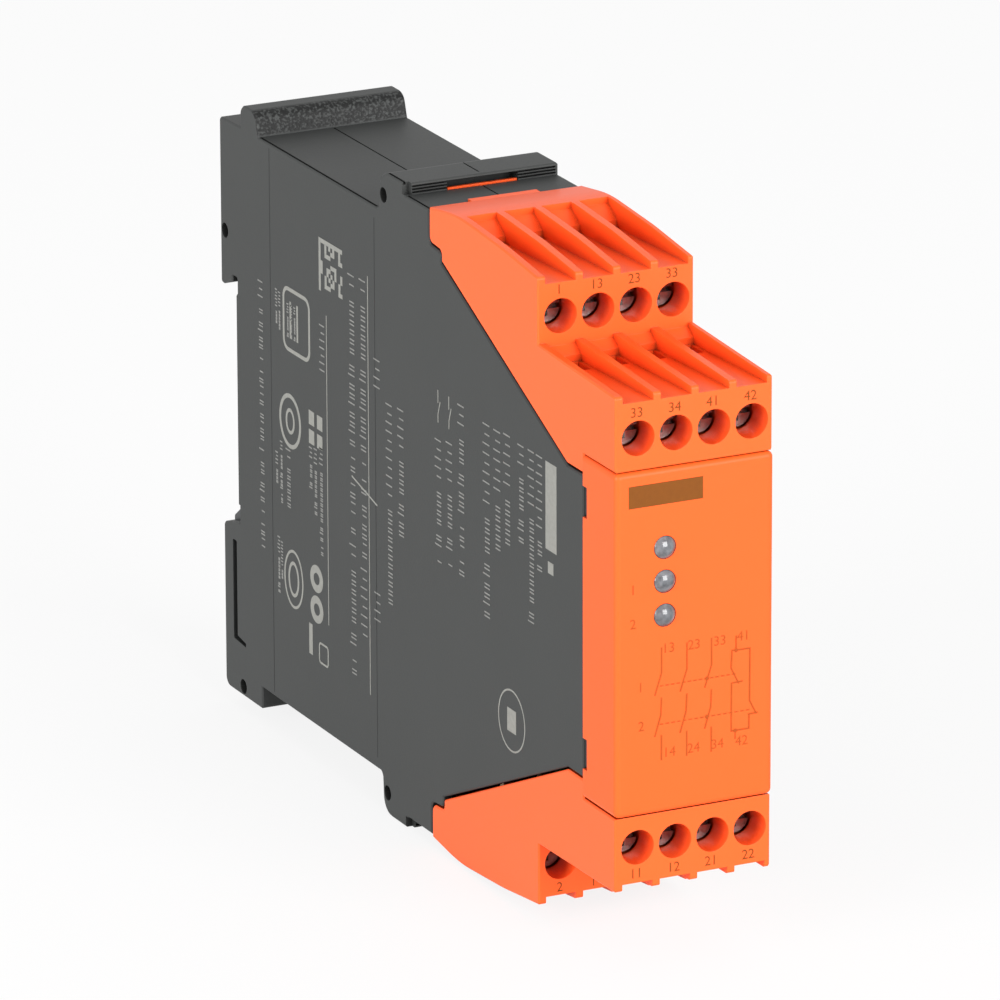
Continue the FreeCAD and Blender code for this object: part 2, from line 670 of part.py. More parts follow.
# ---- front cover and lights ----------------------------------------------------------------------
def front_cover():
    """Front cover: a shallow tray with three light holes and a latch window at each corner."""
    side = half + cover_proud
    top = cover_seam - front_drop - fit_gap
    bottom = -cover_seam - front_drop + fit_gap
    body = brick((-side, side), (0, cover_depth), (bottom, top))
    corner_edges = [edge for edge in body.Edges
                    if abs(edge.Vertexes[0].Y - edge.Vertexes[1].Y) > cover_depth - 0.1]
    body = body.makeFillet(cover_corner, corner_edges)
    front_edges = upright_edges(body, -side, 0) + upright_edges(body, side, 0)
    body = body.makeFillet(cover_round, front_edges)
    inside = brick((-side + cover_wall, side - cover_wall), (cover_plate, cover_depth + 1),
                   (bottom + cover_wall, top - cover_wall))
    holes = [rod(light_x, height, light_radius + light_gap, -1, cover_plate + 1) for height in light_heights]
    windows = [brick((-side - 1, side + 1), (cover_depth - window_deep, cover_depth + 1),
                     (height - window_height / 2, height + window_height / 2)) for height in window_middles]
    return body.cut([inside] + holes + windows)


def light(height):
    """Clear indicator light: a domed barrel with a flange and two leads into the light board."""
    sphere_radius = (light_radius ** 2 + dome_rise ** 2) / (2 * dome_rise)
    barrel = rod(light_x, height, light_radius, 0, light_board_depth - 0.7)
    sphere = Part.makeSphere(sphere_radius, place(light_x, sphere_radius - dome_rise, height))
    dome = sphere.common(rod(light_x, height, light_radius, -light_radius, 0.1))
    rear = light_board_depth - 0.6
    flange = rod(light_x, height, light_radius + light_flange, rear - flange_thick, rear)
    leads = [brick((light_x + offset - lead_half, light_x + offset + lead_half),
                   (rear - 0.1, light_board_depth - 0.02), (height - lead_half, height + lead_half))
             for offset in (-0.9, 0.9)]
    return barrel.fuse([dome, flange] + leads).removeSplitter()


# ---- boards and what they carry ------------------------------------------------------------------
def main_board(tail_holes):
    """Main board, upright along the right side, shaped like the case."""
    front = light_board_depth + board_thick + fit_gap
    upper_edge = front_edge_height - front_drop - board_inset
    lower_edge = front_edge_height + front_drop - board_inset
    board_height = narrow_height - board_room
    corners = [
        (board_rear, -board_height), (board_rear, board_height), (slope_rear, board_height),
        (slope_rear, slope_rear_height - board_inset), (slope_front, upper_edge), (front, upper_edge),
        (front, -lower_edge), (slope_front, -lower_edge), (slope_rear, -slope_rear_height + board_inset),
        (slope_rear, -board_height)]
    board = slab(corners, board_left, board_left + board_thick)
    pins = [hole for middle in (-relay_middle, relay_middle) for hole in relay_pins(middle, fit_gap)]
    return board.cut(tail_holes + pins)


def relay_pins(middle, extra):
    """Pins of one relay, or its pin holes when extra is above zero."""
    pins = []
    for offset in (3.0, 12.0, 19.0, 26.0, 33.0, 37.0):
        for height in (middle - relay_pin_row, middle + relay_pin_row):
            depth = relay_front + offset
            reach = (relay_pin_width / 2 + extra, relay_pin_thick / 2 + extra)
            pins.append(brick((board_left - 0.5, board_left + board_thick + 0.8),
                              (depth - reach[0], depth + reach[0]), (height - reach[1], height + reach[1])))
    return pins


def safety_relay_can(middle):
    """Forcibly guided relay, sealed, with its pins through the board."""
    can = brick((board_left - relay_tall, board_left), (relay_front, relay_front + relay_length),
                (middle - relay_width / 2, middle + relay_width / 2))
    rounded = can.makeFillet(0.8, [edge for edge in can.Edges
                                   if all(vertex.X < board_left - 1 for vertex in edge.Vertexes)])
    return rounded.fuse(relay_pins(middle, 0)).removeSplitter()


def light_board():
    """Small board across the front that carries the lights."""
    board_half = cover_seam - light_board_room
    return brick((-light_board_left, board_left + board_thick),
                 (light_board_depth, light_board_depth + board_thick),
                 (-front_drop / 2 - board_half, -front_drop / 2 + board_half))


def capacitor():
    """Supply capacitor, standing on the board."""
    top = board_left - capacitor_tall
    can = cross_rod(relay_front - 16.0, -16.0, capacitor_radius, top, board_left)
    return can.makeChamfer(0.5, [edge for edge in can.Edges
                                 if abs(edge.Vertexes[0].X - top) < 1e-4 and len(edge.Vertexes) == 1])


def chip(depth, height):
    """Flat chip with a row of legs on two sides."""
    body = brick((board_left - chip_thick - chip_lift, board_left - chip_lift),
                 (depth - chip_length / 2, depth + chip_length / 2),
                 (height - chip_breadth / 2, height + chip_breadth / 2))
    legs = []
    count = int(chip_length // leg_pitch)
    for index in range(count):
        middle = depth + (index - (count - 1) / 2) * leg_pitch
        legs.append(brick((board_left - 0.6, board_left), (middle - 0.3, middle + 0.3),
                          (height - chip_breadth / 2 - leg_length, height + chip_breadth / 2 + leg_length)))
    return body.fuse(legs).removeSplitter()


def rectifier():
    """Bridge rectifier in a flat block."""
    body = brick((board_left - 6.0, board_left), (relay_front - 13.0, relay_front - 4.0), (2.0, 7.5))
    return body.makeChamfer(0.8, [edge for edge in body.Edges
                                  if all(vertex.X < board_left - 1 for vertex in edge.Vertexes)])


def surge_limiter():
    """Surge limiter: a disc on edge, on a foot."""
    front = relay_front - 19.0
    disc = Part.makeCylinder(limiter_radius, limiter_thick, place(board_left - 6.0, front, 16.0), Vector(0, 1, 0))
    foot = brick((board_left - 2.5, board_left), (front + 1.0, front + 2.6), (13.5, 18.5))
    return disc.fuse(foot).removeSplitter()


# ---- build and write every node ------------------------------------------------------------------
left_shell, right_shell = case_shells()
write("case_shell_left", left_shell)
write("case_shell_right", right_shell)
write("rail_latch", rail_latch())
write("latch_spring", latch_spring())
write("terminal_block_top", terminal_block(-front_drop))
write("terminal_block_bottom", terminal_block(front_drop).mirror(Vector(0, 0, 0), Vector(0, 0, 1)))
write("front_cover", front_cover())

board_holes = []
tiers = {"top_rear": (1, tier_step, tier_rise, 0), "top_front": (1, 0, 0, -front_drop),
         "bottom_front": (-1, 0, 0, front_drop), "bottom_rear": (-1, tier_step, tier_rise, 0)}
for tier, (side, setback, rise, drop) in tiers.items():
    face = front_face + setback
    height = screw_height + rise + drop
    bars = []
    for pole, x in enumerate(pole_places):
        number = str(pole + 1)
        write("terminal_screw_" + tier + "_" + number, terminal_screw(x, face, side * height))
        write("clamp_cage_" + tier + "_" + number, clamp_cage(x, face, side * height))
        bar, hole = contact_bar(pole, face, height, side)
        bars.append(bar)
        board_holes.append(hole)
    write("contact_bars_" + tier, bars)

write("main_board", main_board(board_holes))
write("light_board", light_board())
for name, height in zip(("power", "channel_1", "channel_2"), light_heights):
    write("indicator_light_" + name, light(height))
write("guided_relay_1", safety_relay_can(relay_middle))
write("guided_relay_2", safety_relay_can(-relay_middle))
write("supply_capacitor", capacitor())
write("bridge_rectifier", rectifier())
write("surge_limiter", surge_limiter())
write("controller_chip_1", chip(30.0, 6.0))
write("controller_chip_2", chip(30.0, -6.0))
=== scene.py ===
import math

import bmesh
import bpy
from mathutils import Matrix, Vector


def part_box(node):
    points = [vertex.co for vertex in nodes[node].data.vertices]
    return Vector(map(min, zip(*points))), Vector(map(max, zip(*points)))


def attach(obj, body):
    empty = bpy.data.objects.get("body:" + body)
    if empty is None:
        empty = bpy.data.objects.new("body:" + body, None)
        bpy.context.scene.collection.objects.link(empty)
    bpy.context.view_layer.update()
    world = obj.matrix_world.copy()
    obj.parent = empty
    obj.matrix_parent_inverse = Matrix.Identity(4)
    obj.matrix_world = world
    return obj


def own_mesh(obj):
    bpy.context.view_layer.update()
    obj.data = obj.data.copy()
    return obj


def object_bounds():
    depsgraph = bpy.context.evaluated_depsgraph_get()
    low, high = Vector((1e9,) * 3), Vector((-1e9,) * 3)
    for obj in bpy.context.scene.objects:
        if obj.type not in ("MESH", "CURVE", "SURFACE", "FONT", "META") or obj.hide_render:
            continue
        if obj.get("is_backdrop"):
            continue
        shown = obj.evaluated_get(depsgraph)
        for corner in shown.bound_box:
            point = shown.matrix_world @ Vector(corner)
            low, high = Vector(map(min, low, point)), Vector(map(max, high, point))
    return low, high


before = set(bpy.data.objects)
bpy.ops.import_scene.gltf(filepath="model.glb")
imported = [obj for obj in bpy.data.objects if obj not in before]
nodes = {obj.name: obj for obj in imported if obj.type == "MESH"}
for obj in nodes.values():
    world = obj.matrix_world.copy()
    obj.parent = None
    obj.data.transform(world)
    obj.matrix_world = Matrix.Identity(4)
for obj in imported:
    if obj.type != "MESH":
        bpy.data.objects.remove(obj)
cad_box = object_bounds()
MM = 0.001

# ---- stage: camera, lamps, floor -------------------------------------------------------------------
# The module stands on a pale floor under soft studio lamps, and is seen from its front left,
# a little above, through a long lens.
camera_data = bpy.data.cameras.new("camera")
camera_data.sensor_width = 36.0
camera_data.lens = 360.0
camera_data.clip_end = 20.0
camera = bpy.data.objects.new("camera", camera_data)
camera.location = (-0.554369, -1.195124, 0.415133)
camera.rotation_euler = (math.radians(71.8680), math.radians(0.1653), math.radians(-26.0710))
bpy.context.scene.collection.objects.link(camera)
bpy.context.scene.camera = camera
bpy.context.scene.view_settings.view_transform = "Standard"


def soft_lamp(name, place, target, size, power):
    """Large square lamp that points at one place."""
    data = bpy.data.lights.new(name, "AREA")
    data.shape = "SQUARE"
    data.size = size
    data.energy = power
    lamp = bpy.data.objects.new(name, data)
    lamp.location = place
    lamp.rotation_euler = (Vector(target) - Vector(place)).to_track_quat("-Z", "Y").to_euler()
    bpy.context.scene.collection.objects.link(lamp)


middle = (0.0, -0.055, 0.0)
soft_lamp("front_lamp", (0.25, -1.5, 0.45), middle, 0.9, 27.0)
soft_lamp("side_lamp", (-1.5, -0.45, 0.35), middle, 1.0, 27.0)
soft_lamp("top_lamp", (0.5, 0.1, 1.4), middle, 0.8, 1.0)

world = bpy.data.worlds.new("studio")
world.use_nodes = True
sky = world.node_tree
sky.nodes.clear()
seen = sky.nodes.new("ShaderNodeBackground")
seen.inputs["Color"].default_value = (1.0, 1.0, 1.0, 1.0)
seen.inputs["Strength"].default_value = 1.0
glow = sky.nodes.new("ShaderNodeBackground")
glow.inputs["Color"].default_value = (1.0, 1.0, 1.0, 1.0)
glow.inputs["Strength"].default_value = 0.5
rays = sky.nodes.new("ShaderNodeLightPath")
pick = sky.nodes.new("ShaderNodeMixShader")
sky_out = sky.nodes.new("ShaderNodeOutputWorld")
direct = sky.nodes.new("ShaderNodeMath")
direct.use_clamp = True
mirrored = sky.nodes.new("ShaderNodeMath")
mirrored.use_clamp = True
sky.links.new(rays.outputs["Is Camera Ray"], mirrored.inputs[0])
sky.links.new(rays.outputs["Is Glossy Ray"], mirrored.inputs[1])
sky.links.new(mirrored.outputs[0], direct.inputs[0])
sky.links.new(rays.outputs["Is Transmission Ray"], direct.inputs[1])
sky.links.new(direct.outputs[0], pick.inputs[0])
sky.links.new(glow.outputs[0], pick.inputs[1])
sky.links.new(seen.outputs[0], pick.inputs[2])
sky.links.new(pick.outputs[0], sky_out.inputs[0])
bpy.context.scene.world = world

floor_mesh = bmesh.new()
bmesh.ops.create_grid(floor_mesh, x_segments=1, y_segments=1, size=4.0)
bmesh.ops.translate(floor_mesh, verts=floor_mesh.verts, vec=(0, 0, cad_box[0][2] - 0.00005))
floor_data = bpy.data.meshes.new("floor")
floor_mesh.to_mesh(floor_data)
floor_mesh.free()
floor = bpy.data.objects.new("floor", floor_data)
bpy.context.scene.collection.objects.link(floor)
floor_paint = bpy.data.materials.new("pale_floor")
floor_paint.use_nodes = True
tree = floor_paint.node_tree
tree.nodes.clear()
matte = tree.nodes.new("ShaderNodeBsdfDiffuse")
matte.inputs["Color"].default_value = (0.86, 0.86, 0.86, 1.0)
bright = tree.nodes.new("ShaderNodeEmission")
bright.inputs["Color"].default_value = (1.0, 1.0, 1.0, 1.0)
bright.inputs["Strength"].default_value = 1.0
rays = tree.nodes.new("ShaderNodeLightPath")
share = tree.nodes.new("ShaderNodeMath")
share.operation = "MULTIPLY"
share.inputs[1].default_value = 0.85
blend = tree.nodes.new("ShaderNodeMixShader")
out = tree.nodes.new("ShaderNodeOutputMaterial")
shown = tree.nodes.new("ShaderNodeMath")
shown.use_clamp = True
tree.links.new(rays.outputs["Is Camera Ray"], shown.inputs[0])
tree.links.new(rays.outputs["Is Glossy Ray"], shown.inputs[1])
tree.links.new(shown.outputs[0], share.inputs[0])
tree.links.new(share.outputs[0], blend.inputs[0])
tree.links.new(matte.outputs[0], blend.inputs[1])
tree.links.new(bright.outputs[0], blend.inputs[2])
tree.links.new(blend.outputs[0], out.inputs[0])
floor.data.materials.append(floor_paint)
floor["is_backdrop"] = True

# ---- case: two half shells ---------------------------------------------------------------------------
# Two dark grey half shells of glass-filled plastic, moulded with a fine spark-eroded grain and
# snapped together at the middle. The ridge over the hook is rougher, for the thumb.
CASE_GREY = (0.035, 0.037, 0.036, 1.0)


def moulded_plastic(name, colour, roughness, grain, grain_depth, mottle):
    """Moulded plastic: slightly uneven colour and gloss, a fine grain in relief, and painted shade: ambient
    occlusion darkens the colour in hollows and crevices.
    """
    material = bpy.data.materials.new(name)
    material.use_nodes = True
    tree = material.node_tree
    skin = tree.nodes["Principled BSDF"]
    skin.inputs["Specular IOR Level"].default_value = 0.25
    place = tree.nodes.new("ShaderNodeTexCoord")
    fine = tree.nodes.new("ShaderNodeTexNoise")
    fine.inputs["Scale"].default_value = grain
    fine.inputs["Detail"].default_value = 3.0
    fine.inputs["Roughness"].default_value = 0.6
    broad = tree.nodes.new("ShaderNodeTexNoise")
    broad.inputs["Scale"].default_value = 90.0
    broad.inputs["Detail"].default_value = 4.0
    tree.links.new(place.outputs["Object"], fine.inputs["Vector"])
    tree.links.new(place.outputs["Object"], broad.inputs["Vector"])
    tint = tree.nodes.new("ShaderNodeMix")
    tint.data_type = "RGBA"
    tint.inputs[6].default_value = [c * (1 - mottle) for c in colour[:3]] + [1.0]
    tint.inputs[7].default_value = [c * (1 + mottle) for c in colour[:3]] + [1.0]
    tree.links.new(broad.outputs["Fac"], tint.inputs[0])
    speck = tree.nodes.new("ShaderNodeMix")
    speck.data_type = "RGBA"
    speck.blend_type = "MULTIPLY"
    speck.inputs[0].default_value = 1.0
    spread = tree.nodes.new("ShaderNodeMapRange")
    spread.inputs["From Min"].default_value = 0.3
    spread.inputs["From Max"].default_value = 0.7
    spread.inputs["To Min"].default_value = 1.0 - mottle
    spread.inputs["To Max"].default_value = 1.0 + mottle
    tree.links.new(fine.outputs["Fac"], spread.inputs["Value"])
    tree.links.new(tint.outputs[2], speck.inputs[6])
    tree.links.new(spread.outputs[0], speck.inputs[7])
    # Painted shade: ambient occlusion darkens the colour in bores, funnels, slots and seams, down to 0.22 of
    # it where most closed in.
    painted_shade_ao = tree.nodes.new("ShaderNodeAmbientOcclusion")
    painted_shade_ao.samples = 6
    painted_shade_ao.inputs["Distance"].default_value = 3.5 * MM
    painted_shade_level = tree.nodes.new("ShaderNodeMapRange")
    painted_shade_level.inputs["From Min"].default_value = 0.2
    painted_shade_level.inputs["From Max"].default_value = 0.65
    painted_shade_level.inputs["To Min"].default_value = 0.22
    painted_shade_level.inputs["To Max"].default_value = 1.0
    tree.links.new(painted_shade_ao.outputs["AO"], painted_shade_level.inputs["Value"])
    deep = tree.nodes.new("ShaderNodeMix")
    deep.data_type = "RGBA"
    deep.blend_type = "MULTIPLY"
    deep.inputs[0].default_value = 1.0
    tree.links.new(speck.outputs[2], deep.inputs[6])
    tree.links.new(painted_shade_level.outputs[0], deep.inputs[7])
    tree.links.new(deep.outputs[2], skin.inputs["Base Color"])
    gloss = tree.nodes.new("ShaderNodeMapRange")
    gloss.inputs["To Min"].default_value = roughness - 0.06
    gloss.inputs["To Max"].default_value = roughness + 0.06
    tree.links.new(fine.outputs["Fac"], gloss.inputs["Value"])
    tree.links.new(gloss.outputs[0], skin.inputs["Roughness"])
    soft_edge = tree.nodes.new("ShaderNodeBevel")
    soft_edge.samples = 6
    soft_edge.inputs["Radius"].default_value = 0.12 * MM
    relief = tree.nodes.new("ShaderNodeBump")
    relief.inputs["Strength"].default_value = 1.0
    relief.inputs["Distance"].default_value = grain_depth
    tree.links.new(fine.outputs["Fac"], relief.inputs["Height"])
    tree.links.new(soft_edge.outputs[0], relief.inputs["Normal"])
    tree.links.new(relief.outputs[0], skin.inputs["Normal"])
    return material


def dress(node, material):
    """Give a carried-over piece its finish."""
    piece = nodes[node]
    piece.data.materials.clear()
    piece.data.materials.append(material)


def rough_ridge(material, front, level):
    """Coarser grain in relief on the thumb ridge, from its front edge back and above one level; on faces that
    look to the front the colour is speckled and mostly darkened, painted shade for the rough grain's
    self-shadowing.
    """
    tree = material.node_tree
    skin = tree.nodes["Principled BSDF"]
    smooth_colour = skin.inputs["Base Color"].links[0].from_socket
    smooth_normal = skin.inputs["Normal"].links[0].from_socket
    place = tree.nodes.new("ShaderNodeTexCoord")
    split = tree.nodes.new("ShaderNodeSeparateXYZ")
    tree.links.new(place.outputs["Object"], split.inputs[0])
    facing = tree.nodes.new("ShaderNodeNewGeometry")
    turned = tree.nodes.new("ShaderNodeSeparateXYZ")
    tree.links.new(facing.outputs["Normal"], turned.inputs[0])
    limits = []
    for source, low, high in ((split.outputs["Y"], front, front + 0.1 * MM),
                              (split.outputs["Z"], level, level + 0.2 * MM),
                              (turned.outputs["Y"], -0.05, -0.35)):
        limit = tree.nodes.new("ShaderNodeMapRange")
        limit.inputs["From Min"].default_value = low
        limit.inputs["From Max"].default_value = high
        tree.links.new(source, limit.inputs["Value"])
        limits.append(limit)
    on_ridge = tree.nodes.new("ShaderNodeMath")
    on_ridge.operation = "MULTIPLY"
    tree.links.new(limits[0].outputs[0], on_ridge.inputs[0])
    tree.links.new(limits[1].outputs[0], on_ridge.inputs[1])
    on_front = tree.nodes.new("ShaderNodeMath")
    on_front.operation = "MULTIPLY"
    tree.links.new(on_ridge.outputs[0], on_front.inputs[0])
    tree.links.new(limits[2].outputs[0], on_front.inputs[1])
    coarse = tree.nodes.new("ShaderNodeTexNoise")
    coarse.inputs["Scale"].default_value = 2600.0
    coarse.inputs["Detail"].default_value = 2.0
    tree.links.new(place.outputs["Object"], coarse.inputs["Vector"])
    bumps = tree.nodes.new("ShaderNodeBump")
    bumps.inputs["Distance"].default_value = 0.08 * MM
    tree.links.new(on_front.outputs[0], bumps.inputs["Strength"])
    tree.links.new(coarse.outputs["Fac"], bumps.inputs["Height"])
    tree.links.new(smooth_normal, bumps.inputs["Normal"])
    tree.links.new(bumps.outputs[0], skin.inputs["Normal"])
    # Painted shade: the speckle darkens the ridge's front faces down to 0.1 of their colour, standing for the
    # rough grain's self-shadowing; a few flecks are paler.
    flecks_and_painted_shade = tree.nodes.new("ShaderNodeMapRange")
    flecks_and_painted_shade.inputs["From Min"].default_value = 0.48
    flecks_and_painted_shade.inputs["From Max"].default_value = 0.66
    flecks_and_painted_shade.inputs["To Min"].default_value = 0.1
    flecks_and_painted_shade.inputs["To Max"].default_value = 1.4
    tree.links.new(coarse.outputs["Fac"], flecks_and_painted_shade.inputs["Value"])
    ridge_grain_and_painted_shade = tree.nodes.new("ShaderNodeMix")
    ridge_grain_and_painted_shade.data_type = "RGBA"
    ridge_grain_and_painted_shade.blend_type = "MULTIPLY"
    tree.links.new(on_front.outputs[0], ridge_grain_and_painted_shade.inputs[0])
    tree.links.new(smooth_colour, ridge_grain_and_painted_shade.inputs[6])
    tree.links.new(flecks_and_painted_shade.outputs[0], ridge_grain_and_painted_shade.inputs[7])
    tree.links.new(ridge_grain_and_painted_shade.outputs[2], skin.inputs["Base Color"])


case_plastic = moulded_plastic("case_plastic", CASE_GREY, 0.52, 3800.0, 0.012 * MM, 0.05)
RIDGE_FRONT = -7.9
RIDGE_FOOT = 39.6
rough_ridge(case_plastic, RIDGE_FRONT * MM, RIDGE_FOOT * MM)
dress("case_shell_left", case_plastic)
dress("case_shell_right", case_plastic)

# ---- print on the left side plate --------------------------------------------------------------------
# Pale grey pad print: rows of upright ticks where the rating text runs, two long rules, plain bars,
# frames and rings. It is a film of ink on the side plate.
PRINT_GREY = (0.20, 0.20, 0.19, 1.0)
BOLD_GREY = (0.24, 0.24, 0.22, 1.0)
INK = 0.02
FILM_STEP = 0.12
SEAT_DEPTH = 116.2
side_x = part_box("case_shell_left")[0][0] / MM


def ink_bar(mesh, depth, height, depth_size, height_size, turn=0.0):
    """One flat bar of ink on the side plate; bars that cross differ a little in thickness."""
    film = INK * (1 + len(mesh.verts) // 8 % 5 * FILM_STEP)
    place = Vector((side_x - film / 2, depth - SEAT_DEPTH, height)) * MM
    size = Matrix.Diagonal((film * MM, depth_size * MM, height_size * MM, 1.0))
    move = Matrix.Translation(place) @ Matrix.Rotation(turn, 4, "X") @ size
    bmesh.ops.create_cube(mesh, size=1.0, matrix=move)


THIN = 0.2


def ink_line(mesh, depth, top, bottom, tall, words):
    """A row of upright ticks in groups, running down the plate where a line of text would be."""
    step = tall * 0.66
    place = top
    count = 0
    while place - step > bottom:
        for tick in range(words[count % len(words)]):
            if place - step < bottom:
                break
            beat = (tick * 7 + count * 5 + tick * tick) % 6
            height = tall * (1.0, 0.7, 0.7, 0.62, 0.8, 0.7)[beat]
            ink_bar(mesh, depth - (tall - height) / 2, place - step * 0.3, height, THIN)
            if beat in (1, 4, 5):
                ink_bar(mesh, depth - (tall - height) / 2, place - step * 0.3 - tall * 0.26, height, THIN)
            place -= step
        place -= step * 0.8
        count += 1


def lay_band(mesh, band, depth, height):
    """Give a flat band the film's thickness and lay it on the side plate."""
    risen = bmesh.ops.extrude_face_region(band, geom=band.faces[:])["geom"]
    bmesh.ops.translate(band, verts=[item for item in risen if isinstance(item, bmesh.types.BMVert)],
                        vec=(0, 0, INK))
    upright = Matrix(((0, 0, 1, 0), (1, 0, 0, 0), (0, 1, 0, 0), (0, 0, 0, 1)))
    place = Vector((side_x - INK, depth - SEAT_DEPTH, height))
    flat = bpy.data.meshes.new("band")
    band.to_mesh(flat)
    band.free()
    flat.transform(Matrix.Scale(MM, 4) @ Matrix.Translation(place) @ upright)
    mesh.from_mesh(flat)
    bpy.data.meshes.remove(flat)


def ink_ring(mesh, depth, height, depth_radius, height_radius, stroke):
    """A round or oval ring of ink."""
    band = bmesh.new()
    for edge in (stroke / 2, -stroke / 2):
        bmesh.ops.create_circle(band, segments=40, radius=1.0,
                                matrix=Matrix.Diagonal((depth_radius + edge, height_radius + edge, 1, 1)))
    bmesh.ops.bridge_loops(band, edges=band.edges[:])
    lay_band(mesh, band, depth, height)


def ink_frame(mesh, depth, height, depth_size, height_size, radius, stroke):
    """A frame of ink with round corners."""
    band = bmesh.new()
    bmesh.ops.create_grid(band, x_segments=1, y_segments=1, size=0.5,
                          matrix=Matrix.Diagonal((depth_size + stroke, height_size + stroke, 1, 1)))
    bmesh.ops.bevel(band, geom=band.verts[:], offset=radius + stroke / 2, segments=6, profile=0.5,
                    affect="VERTICES", material=-1)
    rim = bmesh.ops.inset_region(band, faces=band.faces[:], thickness=stroke, use_boundary=True,
                                 use_even_offset=True)["faces"]
    bmesh.ops.delete(band, geom=[face for face in band.faces if face not in rim], context="FACES")
    lay_band(mesh, band, depth, height)


def printed_piece(name, mesh, material):
    """Finish a film of ink as a piece of the case."""
    bmesh.ops.recalc_face_normals(mesh, faces=mesh.faces)
    data = bpy.data.meshes.new(name)
    mesh.to_mesh(data)
    mesh.free()
    piece = bpy.data.objects.new(name, data)
    bpy.context.scene.collection.objects.link(piece)
    piece.data.materials.append(material)
    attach(piece, "case")


def ink(name, colour, roughness, patchy):
    """Pad-printed ink, a little patchy where the grain shows through."""
    material = bpy.data.materials.new(name)
    material.use_nodes = True
    tree = material.node_tree
    skin = tree.nodes["Principled BSDF"]
    skin.inputs["Roughness"].default_value = roughness
    skin.inputs["Specular IOR Level"].default_value = 0.2
    place = tree.nodes.new("ShaderNodeTexCoord")
    worn = tree.nodes.new("ShaderNodeTexNoise")
    worn.inputs["Scale"].default_value = 1500.0
    worn.inputs["Detail"].default_value = 3.0
    shade = tree.nodes.new("ShaderNodeMix")
    shade.data_type = "RGBA"
    shade.inputs[6].default_value = [c * (1 - patchy) for c in colour[:3]] + [1.0]
    shade.inputs[7].default_value = [min(1.0, c * (1 + patchy)) for c in colour[:3]] + [1.0]
    tree.links.new(place.outputs["Object"], worn.inputs["Vector"])
    tree.links.new(worn.outputs["Fac"], shade.inputs[0])
    tree.links.new(shade.outputs[2], skin.inputs["Base Color"])
    return material


side_ink = ink("side_ink", PRINT_GREY, 0.6, 0.25)
text = bmesh.new()
for depth, top, bottom, height, words in (
        (108.2, 19.6, -20.4, 1.6, (3, 1, 4, 1, 5, 4, 1, 2)),
        (103.0, 19.7, 14.0, 0.7, (6, 4)), (102.0, 19.5, 13.6, 0.7, (5, 7)),
        (99.3, 18.6, 13.6, 0.6, (4, 5)), (98.2, 18.6, 13.6, 0.6, (6, 3)), (97.1, 18.6, 13.6, 0.6, (3, 6)),
        (88.4, 18.7, 10.6, 1.6, (7,)),
        (75.6, 28.6, -23.2, 2.0, (2, 6, 9, 1, 2, 6, 9)), (79.1, 28.4, -29.2, 2.0, (2, 6, 9, 2, 4, 1, 2, 6)),
        (71.2, 18.7, 13.2, 1.9, (4,)), (71.4, -14.2, -19.6, 1.9, (4,)),
        (63.9, 13.8, -5.6, 1.9, (5, 4, 4)), (67.5, 13.5, -16.0, 1.9, (11, 11)),
        (99.6, -2.1, -11.0, 1.5, (2, 6)), (101.8, -1.7, -11.4, 0.8, (3, 4, 5)),
        (103.3, -3.6, -8.6, 0.8, (4,)),
        (89.0, 1.0, -15.0, 1.1, (4, 10, 3)), (90.8, 0.4, -9.6, 1.0, (4, 6)), (92.3, 0.2, -6.6, 1.0, (3, 3)),
        (102.9, -15.7, -24.0, 0.8, (5, 6)), (101.9, -16.2, -22.0, 0.7, (8,)),
        (45.5, 19.6, -5.0, 1.9, (3, 3, 5, 3)), (49.1, 13.4, -5.4, 1.9, (5, 4, 2)),
        (52.4, 12.9, -5.7, 1.9, (5, 4, 2)), (37.9, 19.2, -9.2, 2.0, (9, 4, 6)),
        (34.7, 19.2, 1.8, 2.0, (7, 5)), (31.8, 19.5, 3.5, 2.0, (6, 5)), (27.7, 19.2, 3.6, 1.8, (3, 4, 3)),
        (24.7, 19.3, -5.2, 1.8, (7, 10)), (22.3, 19.3, 2.2, 1.8, (9, 2))):
    ink_line(text, depth, top, bottom, height, words)
printed_piece("side_print_lines", text, side_ink)

bold_ink = ink("bold_side_ink", BOLD_GREY, 0.55, 0.15)
marks = bmesh.new()
ink_bar(marks, 18.8, 13.0, 3.2, 11.9)
ink_bar(marks, 86.9, -1.8, 0.2, 44.0)
ink_bar(marks, 73.8, -0.2, 0.2, 59.0)
ink_bar(marks, 75.2, -1.15, 8.2, 0.25, math.radians(13.4))
CELL = 0.62
CELLS = 12
for row in range(CELLS):
    for column in range(CELLS):
        if row == 0 or column == CELLS - 1 or (row * 5 + column * 3 + row * column) % 7 < 3:
            ink_bar(marks, 82.0 + column * CELL, 30.4 - row * CELL, CELL, CELL)
ink_frame(marks, 96.5, 16.4, 8.2, 8.6, 1.4, 0.55)
ink_bar(marks, 98.4, 16.4, 0.5, 5.2)
ink_bar(marks, 96.2, 16.4, 0.5, 5.2)
ink_ring(marks, 98.8, 1.9, 3.2, 3.6, 0.6)
ink_ring(marks, 98.8, 1.9, 1.2, 1.6, 0.5)
ink_ring(marks, 98.1, -20.6, 2.9, 4.0, 0.4)
ink_ring(marks, 98.1, -20.6, 1.5, 2.3, 0.5)
for depth in (91.9, 89.3):
    for height in (4.3, 1.6):
        ink_bar(marks, depth, height, 1.7, 2.0)
for height in (-18.3, -22.7):
    ink_ring(marks, 90.7, height, 1.5, 1.4, 1.1)
ink_bar(marks, 92.7, -27.5, 1.1, 4.4)
ink_frame(marks, 88.6, -28.6, 2.8, 2.8, 0.5, 0.3)
ink_ring(marks, 30.5, -19.8, 3.9, 4.2, 0.25)
ink_bar(marks, 30.5, -19.8, 2.6, 3.2)
ink_bar(marks, 18.9, 4.7, 1.6, 1.6)
